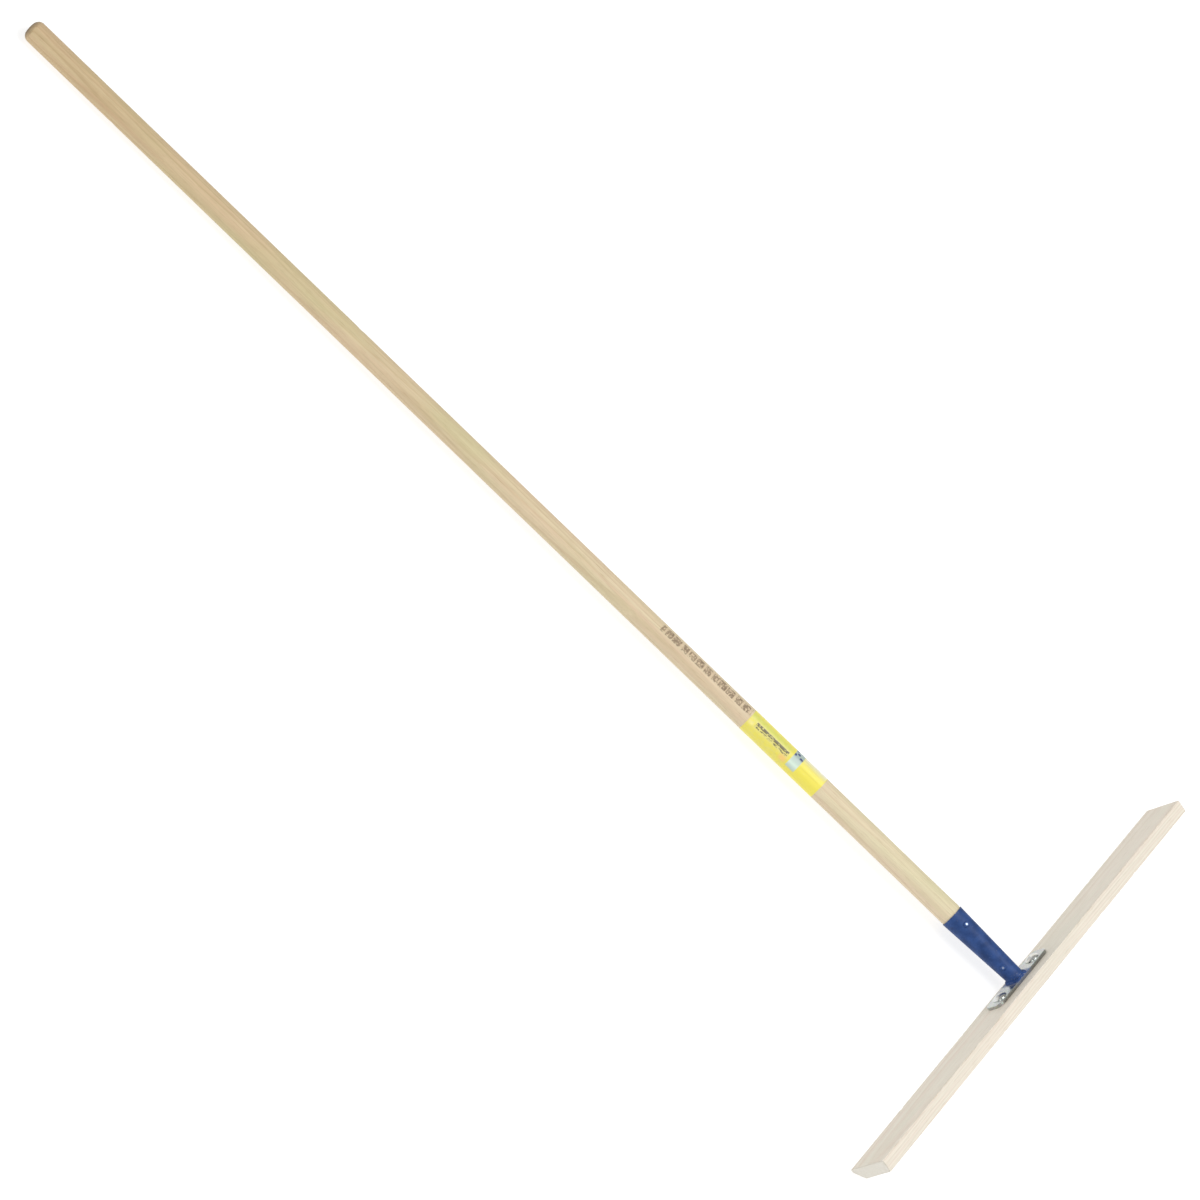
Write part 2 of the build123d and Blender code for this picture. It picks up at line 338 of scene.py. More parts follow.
def burned_marks(g, x, y, z, colour):
    """A burned-in batch strip: a plain random dot code, with gaps, and no letters."""
    turn = g.math("ARCTAN2", g.math("MULTIPLY", x, -1.0), z)
    height = g.math("MULTIPLY", g.math("SUBTRACT", turn, MARKS_TURN), HANDLE_RADIUS)
    column = g.math("FLOOR", g.math("DIVIDE", y, MARK_CELL))
    row = g.math("FLOOR", g.math("DIVIDE", height, MARK_CELL))
    along_groups = g.math("DIVIDE", y, MARK_CELL * MARK_CELLS_IN_GROUP)
    group = g.math("FLOOR", along_groups)
    dot = g.math("GREATER_THAN", g.random(g.join(column, row, 1.0)), 0.30)
    group_width = g.range(g.random(g.join(group, 5.0, 2.0)), 0.0, 1.0, 0.62, 1.0)
    gap = g.math("LESS_THAN", g.math("FRACT", along_groups), group_width)
    strip = g.patch(y, (*MARKS, 0.0003), height, (-MARKS_TALL / 2, MARKS_TALL / 2, 0.0004))
    smudge = g.noise(g.stretch(g.join(y, height, 0.0), 260, 260, 1))
    patchy = g.range(smudge, 0.30, 0.58, 0.45, 1.0)
    burn = g.math("MULTIPLY", g.math("MULTIPLY", dot, gap), g.math("MULTIPLY", strip, patchy))
    scorch = g.math("MULTIPLY", strip, g.range(smudge, 0.35, 0.65, 0.10, 0.30))
    colour = g.mix(scorch, colour, rgb(0.44, 0.31, 0.19))
    return g.mix(g.math("MULTIPLY", burn, 0.82), colour, rgb(0.17, 0.115, 0.070))


def board_wood():
    """Freshly planed pale board: broad grain on its faces, paler sawn ends."""
    g = Graph("board_wood")
    place = g.place(FOOT, BOARD_TURN)
    x, y, z = g.split(place)
    lengthwise = g.join(y, x, z)
    rings = growth_rings(g, lengthwise, pith=(0.012, -0.085), spacing=0.0034, wander=0.020)
    colour, roughness, height = wood(
        g, lengthwise, rings, BOARD_TONES, ring_share=0.58, fibre_share=0.10
    )
    half_length = (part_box("screed_board")[1].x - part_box("screed_board")[0].x) / 2
    end = g.range(g.math("ABSOLUTE", x), half_length - 0.0016, half_length - 0.0004)
    saw = g.noise(g.stretch(lengthwise, 2400, 40, 130), 1.0, 2.0)
    sawn = g.ramp(saw, [(0.3, rgb(0.70, 0.66, 0.58)), (0.7, rgb(0.84, 0.82, 0.75))])
    colour = g.mix(g.math("MULTIPLY", end, 0.8), colour, sawn)
    g.set(Base_Color=colour, Roughness=roughness, Specular_IOR_Level=0.30)
    g.bump(g.math("MULTIPLY_ADD", g.math("MULTIPLY", saw, end), 1.2, height), 0.00012, 0.5)
    return g.material


# ---------------------------------------------------------------- metal
PAINT_DARK = rgb(0.014, 0.042, 0.145)
PAINT_LIGHT = rgb(0.029, 0.074, 0.235)


def paint_colour(g, place):
    """Slightly mottled dark blue."""
    return g.mix(g.range(g.noise(place, 95, 3.0), 0.33, 0.67), PAINT_DARK, PAINT_LIGHT)


def socket_paint():
    """Dark blue paint: slight orange peel, chips at the mouth's rim and round the foot."""
    g = Graph("socket_paint")
    place = g.place(FOOT, HANDLE_TURN)
    _, y, _ = g.split(place)
    scuff = g.noise(g.stretch(place, 900, 220, 900), 1.0, 3.0, 0.65)
    chip_noise = g.noise(place, 750, 4.0, 0.6)
    rim = g.range(y, SOCKET_MOUTH - 0.0022, SOCKET_MOUTH, 0.0, 0.17)
    foot = g.range(y, 0.004, 0.012, 0.08, 0.0)
    chip = g.range(g.math("ADD", chip_noise, g.math("ADD", rim, foot)), 0.70, 0.73)
    paint = paint_colour(g, place)
    paint = g.mix(g.range(scuff, 0.62, 0.80, 0.0, 0.30), paint, rgb(0.075, 0.105, 0.20))
    steel = g.mix(chip_noise, rgb(0.16, 0.15, 0.14), rgb(0.36, 0.34, 0.32))
    g.set(
        Base_Color=g.mix(chip, paint, steel),
        Metallic=chip,
        Roughness=g.range(scuff, 0.3, 0.8, 0.42, 0.58),
        Specular_IOR_Level=0.20,
    )
    peel = g.noise(place, 1100, 2.0)
    g.bump(g.math("MULTIPLY_ADD", chip, -1.5, peel), 0.00006, 0.45)
    return g.material


def rivet_steel(node, bare_radius):
    """A rivet painted with the socket, with its crown rubbed bare to this radius."""
    g = Graph(node + "_steel")
    low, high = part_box(node)
    centre = (low + high) / 2
    turn = rivet_direction(node, centre).to_track_quat("Z", "Y").to_euler()
    x, y, _ = g.split(g.place(centre, turn))
    place = g.place(FOOT, HANDLE_TURN)
    from_middle = g.math("SQRT", g.math("ADD", g.math("MULTIPLY", x, x), g.math("MULTIPLY", y, y)))
    ragged = g.math("MULTIPLY_ADD", g.noise(place, 1400, 3.0), 0.0012, from_middle)
    painted = g.range(ragged, bare_radius - 0.0001, bare_radius + 0.0013)
    scratch = g.noise(g.stretch(place, 3000, 900, 3000), 1.0, 2.0)
    steel = g.mix(scratch, rgb(0.31, 0.38, 0.54), rgb(0.54, 0.61, 0.78))
    g.set(
        Base_Color=g.mix(painted, steel, paint_colour(g, place)),
        Metallic=g.math("SUBTRACT", 1.0, painted),
        Roughness=g.range(painted, 0.0, 1.0, 0.34, 0.42),
        Specular_IOR_Level=0.22,
    )
    g.bump(g.math("MULTIPLY_ADD", painted, 1.4, scratch), 0.00004, 0.5)
    return g.material


def rivet_direction(node, centre):
    """Which way a rivet's upper head faces, read off the CAD node's mesh."""
    arms = [vertex.co - centre for vertex in NODES[node].data.vertices]
    upper = [arm for arm in arms if arm.dot(HANDLE_UP) > 0]
    longest = max(arm.length for arm in upper)
    return sum((arm for arm in upper if arm.length > longest - 0.00002), Vector()).normalized()


def bolt_steel():
    """Zinc-plated steel: cloudy, slightly yellow plating with fine scratches and grime."""
    g = Graph("bolt_steel")
    place = g.place(FOOT, BOARD_TURN)
    cloud = g.noise(place, 300, 4.0, 0.6)
    scratch = g.noise(g.stretch(place, 180, 2600, 2600), 1.0, 2.0)
    grime = g.range(g.noise(place, 160, 4.0, 0.6), 0.52, 0.72)
    colour = g.mix(cloud, rgb(0.50, 0.51, 0.51), rgb(0.76, 0.77, 0.76))
    yellowed = g.range(g.noise(place, 95, 2.0), 0.4, 0.7, 0.0, 0.6)
    colour = g.mix(yellowed, colour, rgb(0.66, 0.63, 0.51))
    colour = g.mix(g.math("MULTIPLY", grime, 0.45), colour, rgb(0.16, 0.15, 0.14))
    shine = g.math("MULTIPLY_ADD", grime, 0.2, g.range(cloud, 0.3, 0.7, 0.30, 0.20))
    g.set(Base_Color=colour, Metallic=1.0, Roughness=shine)
    g.bump(g.math("MULTIPLY_ADD", cloud, 0.8, scratch), 0.00004, 0.4)
    return g.material


SHADED_SIDE_TO = (0.0485, 0.0520)  # the painted shade on the bar's side faces fades out here, from its middle
# The blue overspray round the weld fades out here; it also paints the socket's reflection and
# shadow on the bar.
SPRAY_AND_REFLECTION_TO = (0.0165, 0.0225)


def bar_steel():
    """Glossy zinc bar with painted shade on its long side faces, a painted light ramp along its
    length, and blue overspray round the weld that also paints the socket's reflection and shadow.
    """
    g = Graph("bar_steel")
    place = g.place(FOOT, BOARD_TURN)
    x, _, z = g.split(place)
    flakes = g.cells(place, 420, output="Color")
    cloud = g.noise(place, 70, 4.0, 0.6)
    zinc = g.mix(cloud, rgb(0.36, 0.38, 0.36), rgb(0.53, 0.55, 0.53))
    zinc = g.mix(0.10, zinc, flakes, "OVERLAY")
    # Painted light: the zinc is made darker towards one end of the bar and lighter towards the
    # other.
    painted_light_ramp = g.range(x, -0.05, 0.05, 0.90, 1.08)
    zinc = g.mix(1.0, zinc, g.join(painted_light_ramp, painted_light_ramp, painted_light_ramp), "MULTIPLY")
    scratch = g.range(g.noise(g.stretch(place, 120, 3200, 3200), 1.0, 2.0), 0.60, 0.70)
    zinc = g.mix(g.math("MULTIPLY", scratch, 0.4), zinc, rgb(0.80, 0.81, 0.79))
    ragged = g.math("MULTIPLY_ADD", g.noise(place, 500, 2.0), 0.0010, z)
    # Painted shade: the bar's side faces, below its top, are coloured dark, apart from its ends.
    shaded_side = g.range(ragged, BAR_TOP - 0.0006, BAR_TOP + 0.0003, 1.0, 0.0)
    shaded_side_reach = g.math("MULTIPLY_ADD", g.noise(place, 350, 2.0), 0.005, g.math("ABSOLUTE", x))
    shaded_side = g.math("MULTIPLY", shaded_side, g.range(shaded_side_reach, *SHADED_SIDE_TO, 1.0, 0.12))
    shaded_side_colour = g.mix(g.noise(place, 600, 3.0), rgb(0.095, 0.095, 0.085), rgb(0.32, 0.315, 0.28))
    metal = g.mix(shaded_side, zinc, shaded_side_colour)
    # Blue overspray round the weld, which also paints the socket's reflection and shadow on the
    # bar.
    spray_and_reflection_reach = g.math("MULTIPLY_ADD", g.noise(place, 260, 3.0), 0.008, g.math("ABSOLUTE", x))
    spray_and_reflection = g.math("MULTIPLY", g.range(spray_and_reflection_reach, *SPRAY_AND_REFLECTION_TO, 1.0, 0.0), 0.9)
    spray_and_reflection = g.math("MULTIPLY", spray_and_reflection, g.range(shaded_side, 0.0, 1.0, 1.0, 0.35))
    polish = g.math("MULTIPLY_ADD", shaded_side, 0.25, g.range(cloud, 0.3, 0.7, 0.30, 0.22))
    g.set(
        Base_Color=g.mix(spray_and_reflection, metal, PAINT_LIGHT),
        Metallic=g.math("SUBTRACT", 1.0, spray_and_reflection),
        Roughness=g.math("MULTIPLY_ADD", spray_and_reflection, 0.15, polish),
    )
    g.bump(g.math("MULTIPLY_ADD", scratch, -0.5, cloud), 0.00006, 0.4)
    return g.material


# ---------------------------------------------------------------- label
BAND = (0.353, 0.366)  # pale blue band across the label
CODE = (0.371, 0.421)  # dark printed strip
CODE_CELL = 0.0016
CODE_EDGE = 0.0002
CODE_ROWS = ((0.0042, 0.0078, 0.18), (0.0088, 0.0108, 0.55))  # from, to, share left out
# Along the handle and round it, each as from, to and edge.
RUBBED_SPOT = ((0.4235, 0.431, 0.001), (0.0075, 0.0120, 0.0015))
STAIN = ((0.3690, 0.3780, 0.002), (0.0100, 0.0180, 0.002))


def label_film():
    """Yellow wrap: dark random block rows, a pale blue band and a plain half."""
    g = Graph("label_film")
    x, y, z = g.split(g.place(FOOT, HANDLE_TURN))
    turn = g.math("ARCTAN2", g.math("MULTIPLY", x, -1.0), z)
    around = g.math("MULTIPLY", turn, HANDLE_RADIUS)
    flat = g.join(y, around, 0.0)
    yellow = g.mix(g.noise(flat, 45, 3.0), rgb(0.78, 0.665, 0.060), rgb(0.85, 0.775, 0.150))
    upper_half = g.range(y, BAND[1], BAND[1] + 0.008)
    greenish = g.math("MULTIPLY", g.window(around, -0.0035, 0.0042, 0.003), upper_half)
    yellow = g.mix(g.math("MULTIPLY", greenish, 0.85), yellow, rgb(0.60, 0.64, 0.13))
    yellow = label_wear(g, y, around, flat, yellow)
    colour = label_code(g, y, around, yellow)
    colour = label_band(g, y, around, flat, colour)
    scuff = g.range(g.noise(g.stretch(flat, 220, 700, 1), 1.0, 3.0, 0.65), 0.60, 0.75)
    colour = g.mix(g.math("MULTIPLY", scuff, 0.25), colour, rgb(0.80, 0.77, 0.62))
    rough = g.math("MULTIPLY_ADD", scuff, 0.25, 0.34)
    g.set(Base_Color=colour, Roughness=rough, Specular_IOR_Level=0.4)
    g.bump(g.noise(g.stretch(flat, 60, 160, 1), 1.0, 2.0), 0.00025, 0.35)
    return g.material


def label_wear(g, y, around, flat, yellow):
    """A pale margin on top, a rubbed spot near the upper end, a stain and handling marks."""
    lower_half = g.window(y, LABEL[0] + 0.0008, BAND[0] - 0.0005, 0.0005)
    upward = g.range(around, 0.0032, -0.0070)
    yellow = g.mix(g.math("MULTIPLY", lower_half, 0.5), yellow, rgb(0.87, 0.77, 0.10))
    margin = g.math("MULTIPLY", lower_half, g.math("MULTIPLY", upward, 0.9))
    yellow = g.mix(margin, yellow, rgb(0.78, 0.755, 0.60))
    spot = g.patch(y, RUBBED_SPOT[0], around, RUBBED_SPOT[1])
    yellow = g.mix(g.math("MULTIPLY", spot, 0.8), yellow, rgb(0.92, 0.82, 0.32))
    handled = g.range(g.noise(g.stretch(flat, 240, 330, 1), 1.0, 3.0, 0.6), 0.38, 0.62, 0.0, 0.45)
    upper_half = g.range(y, BAND[1], BAND[1] + 0.004)
    yellow = g.mix(g.math("MULTIPLY", handled, upper_half), yellow, rgb(0.72, 0.67, 0.235))
    stain = g.patch(y, STAIN[0], around, STAIN[1])
    yellow = g.mix(g.math("MULTIPLY", stain, 0.85), yellow, rgb(0.90, 0.57, 0.20))
    creases = g.range(g.noise(g.stretch(flat, 25, 420, 1), 1.0, 2.0), 0.60, 0.68, 0.0, 0.35)
    return g.mix(creases, yellow, rgb(0.70, 0.60, 0.12))


def label_code(g, y, around, colour):
    """Two rows of plain random blocks on a rubbed ground."""
    ground_ends = (CODE[0] - 0.001, CODE[1] + 0.001, 0.0006)
    ground_sides = (CODE_ROWS[0][0] - 0.0010, CODE_ROWS[1][1] + 0.0008, 0.0008)
    ground = g.patch(y, ground_ends, around, ground_sides)
    colour = g.mix(g.math("MULTIPLY", ground, 0.6), colour, rgb(0.69, 0.63, 0.25))
    column = g.math("FLOOR", g.math("DIVIDE", y, CODE_CELL))
    row = g.math("FLOOR", g.math("DIVIDE", around, CODE_CELL / 2))
    blocks = g.random(g.join(column, row, 4.0))
    for low, high, left_out in CODE_ROWS:
        printed = g.math("GREATER_THAN", blocks, left_out)
        inside = g.patch(y, (*CODE, CODE_EDGE), around, (low, high, CODE_EDGE))
        colour = g.mix(g.math("MULTIPLY", inside, printed), colour, rgb(0.175, 0.155, 0.070))
    return colour


def label_band(g, y, around, flat, colour):
    """A pale blue band with a painted highlight along the side that faces the camera-side lamp, and
    dark spots towards the top.
    """
    band = g.patch(y, (*BAND, 0.0004), around, (-0.016, 0.0180, 0.0012))
    # Painted highlight: the band is made palest along the line round the handle that faces the
    # camera-side lamp.
    painted_highlight = g.range(g.math("ABSOLUTE", g.math("SUBTRACT", around, 0.0110)), 0.0, 0.009, 1.0, 0.0)
    blue = g.mix(painted_highlight, rgb(0.38, 0.47, 0.44), rgb(0.66, 0.80, 0.68))
    spot_cells = g.cells(g.stretch(flat, 190, 230, 1), 1.0)
    towards_top = g.range(around, 0.0005, 0.0030, 1.0, 0.0)
    spots = g.math("MULTIPLY", g.math("LESS_THAN", spot_cells, 0.42), towards_top)
    blue = g.mix(spots, blue, rgb(0.055, 0.070, 0.19))
    return g.mix(band, colour, blue)


# ---------------------------------------------------------------- mesh helpers
def cad_shape(node):
    """An editable copy of a CAD node's mesh."""
    source = NODES[node].data
    mesh = bpy.data.meshes.new(node + "_copy")
    corners = [vertex.co for vertex in source.vertices]
    mesh.from_pydata(corners, [], [tuple(face.vertices) for face in source.polygons])
    shape = bmesh.new()
    shape.from_mesh(mesh)
    bmesh.ops.remove_doubles(shape, verts=shape.verts, dist=WELD_DISTANCE)
    bpy.data.meshes.remove(mesh)
    return shape


def slice_shape(shape, normal, heights):
    """Cuts every face along parallel planes, so that long faces can be worn."""
    for height in heights:
        everything = shape.verts[:] + shape.edges[:] + shape.faces[:]
        bmesh.ops.bisect_plane(
            shape,
            geom=everything,
            dist=WELD_DISTANCE,
            plane_co=FOOT + normal * height,
            plane_no=normal,
        )


def steps(first, last, longest):
    """Evenly spaced numbers from first to last, at most this far apart."""
    count = math.ceil((last - first) / longest)
    return [first + (last - first) * index / count for index in range(count + 1)]


def skin(shape, rings, loop=False):
    """Covers rings of points with faces: closed at both ends, or round in a loop."""
    rows = [[shape.verts.new(point) for point in ring] for ring in rings]
    pairs = list(zip(rows, rows[1:]))
    if loop:
        pairs.append((rows[-1], rows[0]))
    else:
        shape.faces.new(rows[0])
        shape.faces.new(rows[-1])
    for lower, upper in pairs:
        for index, corner in enumerate(lower):
            after = (index + 1) % len(lower)
            shape.faces.new((corner, lower[after], upper[after], upper[index]))
    bmesh.ops.recalc_face_normals(shape, faces=shape.faces)


def dent(shape, centre, radius, push):
    """Presses a round dent into a shape; push is how its middle moves."""
    for vertex in shape.verts:
        near = 1 - (vertex.co - centre).length / radius
        if near > 0:
            vertex.co += push * near * near * (3 - 2 * near)


def ease(value, low, high):
    """0 below low to 1 above high, smoothly."""
    share = min(max((value - low) / (high - low), 0.0), 1.0)
    return share * share * (3 - 2 * share)


def lumps(point, x, y, z):
    """Smooth noise from 0 to 1, with this many lumps a metre along each axis."""
    return 0.5 + 0.5 * noise.noise(Vector((point.x * x, point.y * y, point.z * z)))


def new_piece(name, shape, node, material, sharp=35):
    """Makes a piece that stands for a CAD node and rides on the tool."""
    mesh = bpy.data.meshes.new(name)
    shape.to_mesh(mesh)
    shape.free()
    mesh.shade_smooth()
    mesh.set_sharp_from_angle(angle=math.radians(sharp))
    mesh.materials.append(material)
    piece = bpy.data.objects.new(name, mesh)
    bpy.context.scene.collection.objects.link(piece)
    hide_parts(node)
    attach(piece, "root")


def dress(material, *names):
    """Puts one material on CAD nodes."""
    for name in names:
        data = NODES[name].data
        data.materials.clear()
        data.materials.append(material)


# ---------------------------------------------------------------- handle
AXIS_CUTS = 30  # planes through the axis that split the pole's long faces
HANDLE_SLICE = 0.014
BUTT_SLICE = 0.0008
SHOULDER_END = SOCKET_MOUTH + 0.002  # the pole has its full radius from here
WAVES_FROM = SOCKET_MOUTH + 0.006
WAVES_FULL = SOCKET_MOUTH + 0.040
POLE_CUTS = (WAVES_FROM, HANDLE_END - 0.012)
BUTT_CUTS = (HANDLE_END - 0.010, HANDLE_END - 0.0002)
HANDLE_WAVE = 0.00022  # how far the turned surface strays inwards
HANDLE_LUMPS = (60, 11, 60)
BUTT_LENGTH = 0.013  # the stretch that is knocked
BUTT_WEAR = 0.00035
BUTT_LUMPS = (190, 190, 190)
HANDLE_DENTS = 16
DENT_MARGIN = 0.02  # dents keep this far from the label and the butt
DENT_RADII = (0.004, 0.008)
DENT_DEPTHS = (0.05, 0.11)  # as a share of the radius
DENT_CUTS = (-1, -0.6, -0.3, 0, 0.3, 0.6, 1)


def butt_round():
    """The radius of the butt's rounded rim, from the flat disc that it leaves."""
    offsets = [vertex.co - FOOT for vertex in NODES["handle"].data.vertices]
    flat = [offset for offset in offsets if offset.dot(HANDLE_DIR) > HANDLE_END - WELD_DISTANCE]
    return HANDLE_RADIUS - max((offset - HANDLE_DIR * HANDLE_END).length for offset in flat)


def pole_radius(distance, rim):
    """The bare pole's true radius, up to and round the butt's rim."""
    into_rim = min(max(distance - HANDLE_END + rim, 0.0), rim)
    return HANDLE_RADIUS - rim + math.sqrt(rim**2 - into_rim**2)


def split_round(shape):
    """Splits a shape's faces along planes through the handle's axis."""
    for index in range(AXIS_CUTS):
        turn = math.pi * index / AXIS_CUTS
        slice_shape(shape, HANDLE_UP * math.cos(turn) - ACROSS * math.sin(turn), [0.0])


def true_up(shape, first, last, radius_at):
    """Moves the corners of a round stretch out to the surface that they stand for."""
    for vertex in shape.verts:
        distance = (vertex.co - FOOT).dot(HANDLE_DIR)
        if first < distance < last:
            arm = vertex.co - FOOT - HANDLE_DIR * distance
            vertex.co += arm * (radius_at(distance) / arm.length - 1)


def handle_pole():
    """The CAD handle, with a turned surface's slight waves, dents and a knocked butt."""
    shape = cad_shape("handle")
    rim = butt_round()
    dice = random.Random(41)
    dents = []
    for _ in range(HANDLE_DENTS):
        distance = dice.uniform(LABEL[1] + DENT_MARGIN, HANDLE_END - DENT_MARGIN)
        dents.append((distance, dice.uniform(-math.pi, math.pi), dice.uniform(*DENT_RADII)))
    heights = steps(*POLE_CUTS, HANDLE_SLICE) + steps(*BUTT_CUTS, BUTT_SLICE)
    for distance, _, radius in dents:
        heights += [distance + radius * share for share in DENT_CUTS]
    split_round(shape)
    slice_shape(shape, HANDLE_DIR, sorted(heights))
    last = HANDLE_END - WELD_DISTANCE
    true_up(shape, SHOULDER_END, last, lambda distance: pole_radius(distance, rim))
    shape.normal_update()
    for vertex in shape.verts:
        distance = (vertex.co - FOOT).dot(HANDLE_DIR)
        from_label = abs(distance - sum(LABEL) / 2)
        bare = ease(distance, WAVES_FROM, WAVES_FULL)
        bare *= ease(from_label, 0.5 * (LABEL[1] - LABEL[0]) + 0.001, 0.07)
        wave = lumps(vertex.co, *HANDLE_LUMPS) * HANDLE_WAVE * bare
        knocks = ease(distance, HANDLE_END - BUTT_LENGTH, HANDLE_END) * BUTT_WEAR
        vertex.co -= vertex.normal * (wave + lumps(vertex.co, *BUTT_LUMPS) * knocks)
    for distance, turn, radius in dents:
        centre = handle_point(distance, turn, HANDLE_RADIUS)
        inward = handle_point(distance, turn, 0.0) - centre
        dent(shape, centre, radius, inward.normalized() * radius * dice.uniform(*DENT_DEPTHS))
    new_piece("handle_pole", shape, "handle", handle_wood())


# ---------------------------------------------------------------- board
BOARD_SLICE = 0.006
EDGE_CUTS = (0.0015, 0.0035, 0.008)  # lengthwise cuts, from each edge of the wide faces
MIDDLE_CUTS = (0.010, 0.0, -0.010)
BOARD_WAVE = 0.00014
BOARD_LUMPS = (7, 30, 30)
ARRIS_WEAR = 0.00045
ARRIS_LUMPS = (75, 120, 120)
FLAT_ANGLE = math.radians(20)  # faces that meet at less than this count less as an arris
UNTOUCHED = (0.058, 0.080)  # no wear this near the bracket; full wear beyond
KNOCKS = 18
KNOCKS_FROM = 0.08
KNOCK_RADII = (0.0024, 0.0048)
KNOCK_DEPTHS = (0.08, 0.18)  # as a share of the radius
KNOCK_CUTS = (-1, -0.5, 0, 0.5, 1)


def arris_share(vertex):
    """0 on a flat stretch to 1 on an arris, from how much the faces round it differ."""
    normals = [face.normal for face in vertex.link_faces]
    spread = max(normals[0].angle(normal, 0.0) for normal in normals)
    return min(spread / FLAT_ANGLE, 1.0)


def planed_board():
    """The CAD board, with planed faces, arrises that are rubbed unevenly, and small knocks."""
    shape = cad_shape("screed_board")
    low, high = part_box("screed_board")
    half_length = (high.x - low.x) / 2
    top = reach("screed_board", BOARD_UP) - FOOT.dot(BOARD_UP)
    back = reach("screed_board", FACE_NORMAL, lowest=True) - FOOT.dot(FACE_NORMAL)
    dice = random.Random(17)
    knocks = []
    for index in range(KNOCKS):
        corner = ((top, 0.0), (-top, 0.0), (top, back))[index % 3]
        along = dice.uniform(KNOCKS_FROM, half_length - 0.01) * dice.choice((-1, 1))
        knocks.append((along, corner, dice.uniform(*KNOCK_RADII)))
    across = steps(-half_length + 0.004, half_length - 0.004, BOARD_SLICE)
    for along, _, radius in knocks:
        across += [-along + radius * share for share in KNOCK_CUTS]
    slice_shape(shape, ACROSS, sorted(across))
    slice_shape(shape, BOARD_UP, [top - step for step in EDGE_CUTS])
    slice_shape(shape, BOARD_UP, MIDDLE_CUTS)
    slice_shape(shape, BOARD_UP, [step - top for step in EDGE_CUTS])
    slice_shape(shape, FACE_NORMAL, (-0.0018, -0.0032, back / 2, back + 0.0018))
    shape.normal_update()
    wear = [(vertex, vertex.normal.copy(), arris_share(vertex)) for vertex in shape.verts]
    for vertex, normal, arris in wear:
        beside_bracket = ease(abs(vertex.co.x), *UNTOUCHED)
        rub = max(lumps(vertex.co, *ARRIS_LUMPS) * 1.7 - 0.45, 0.12) * ARRIS_WEAR * arris
        wave = lumps(vertex.co, *BOARD_LUMPS) * BOARD_WAVE
        vertex.co -= normal * (rub + wave) * beside_bracket
    for along, (up, out), radius in knocks:
        inward = BOARD_UP * math.copysign(1, -up) + FACE_NORMAL * (1 if out else -1)
        depth = radius * dice.uniform(*KNOCK_DEPTHS)
        dent(shape, board_point(along, up, out), radius, inward.normalized() * depth)
    new_piece("planed_board", shape, "screed_board", board_wood())


# ---------------------------------------------------------------- weld
WELD_LEG = 0.0030
WELD_STEPS = 400
WELD_RIPPLES = 40
WELD_ARC = 8  # strips across the bead
WELD_INSET = 0.0006  # how far the bead's root reaches into the socket's wall
WELD_UNEVEN = 0.12
RIPPLE_DEPTH = 0.26  # as a share of the bead's thickness
RIPPLE_CURVE = 0.7  # how far a ripple's middle lags behind its ends
BEAD_ROUNDNESS = 1.25
BAR_ARRIS = 0.0005


def socket_cone():
    """The socket's outer radius where its axis meets the board's face, and its growth."""
    points = []
    for vertex in NODES["handle_socket"].data.vertices:
        offset = vertex.co - FOOT
        distance = offset.dot(HANDLE_DIR)
        points.append(((offset - HANDLE_DIR * distance).length, distance))
    wide = max(points)
    narrow = max(point for point in points if point[1] < SOCKET_MOUTH / 10)
    growth = (wide[0] - narrow[0]) / (wide[1] - narrow[1])
    return narrow[0] - growth * narrow[1], growth


def weld_section(turn, radius, growth):
    """One section of the bead, at an angle round the handle."""
    out = HANDLE_UP * math.cos(turn) - ACROSS * math.sin(turn)
    lean = out.dot(FACE_NORMAL)
    uneven = noise.noise(Vector((math.cos(turn), math.sin(turn), 0.4)) * 3)

    def on_socket(height):
        rise = HANDLE_DIR.dot(FACE_NORMAL) + growth * lean
        distance = (BAR_TOP + height - radius * lean) / rise
        return handle_point(distance, turn, radius + growth * distance)

    root = on_socket(0.0)
    away = (out - FACE_NORMAL * lean).normalized()
    climb = away.dot(BOARD_UP)
    edge = BAR_EDGES[1] - BAR_ARRIS if climb > 0 else BAR_EDGES[0] + BAR_ARRIS
    room = (edge - (root - FOOT).dot(BOARD_UP)) / climb if abs(climb) > 0.01 else WELD_LEG
    leg = min(WELD_LEG * (1 + WELD_UNEVEN * uneven), room)
    on_bar = away * leg
    up_socket = on_socket(WELD_LEG * (0.92 + WELD_UNEVEN * uneven)) - root
    section = [root - away * WELD_INSET]
    for index in range(WELD_ARC + 1):
        share = index / WELD_ARC
        bulge = math.sin(math.pi * share)
        phase = turn * WELD_RIPPLES / math.tau - RIPPLE_CURVE * bulge
        ripple = abs(math.sin(math.pi * phase)) ** 0.6 - 0.5
        size = 1 + RIPPLE_DEPTH * ripple * bulge
        over_bar = math.cos(math.pi / 2 * share) ** BEAD_ROUNDNESS
        over_socket = math.sin(math.pi / 2 * share) ** BEAD_ROUNDNESS
        section.append(root + (on_bar * over_bar + up_socket * over_socket) * size)
    return section


def weld_bead():
    """A rippled bead round the socket's foot, cut short where the bar ends."""
    shape = bmesh.new()
    radius, growth = socket_cone()
    turns = [math.tau * index / WELD_STEPS for index in range(WELD_STEPS)]
    skin(shape, [weld_section(turn, radius, growth) for turn in turns], loop=True)
    new_piece("weld_bead", shape, "socket_weld", socket_paint(), sharp=60)


# ---------------------------------------------------------------- bolts
BOLT_SIDES = 48
DOME_RINGS = 10
THREAD_PITCH = 0.00125
THREAD_DEPTH = 0.00068
RINGS_PER_PITCH = 10
GROOVE_SLOPE = 1.35  # above 1, so that the groove's root is flat too
CREST_FLAT = 0.15
SMOOTH_SHANK_END = -0.0155  # where the thread starts, just inside the board
NECK_STEP = 0.00005  # how far the round shank stands inside the square neck's flats


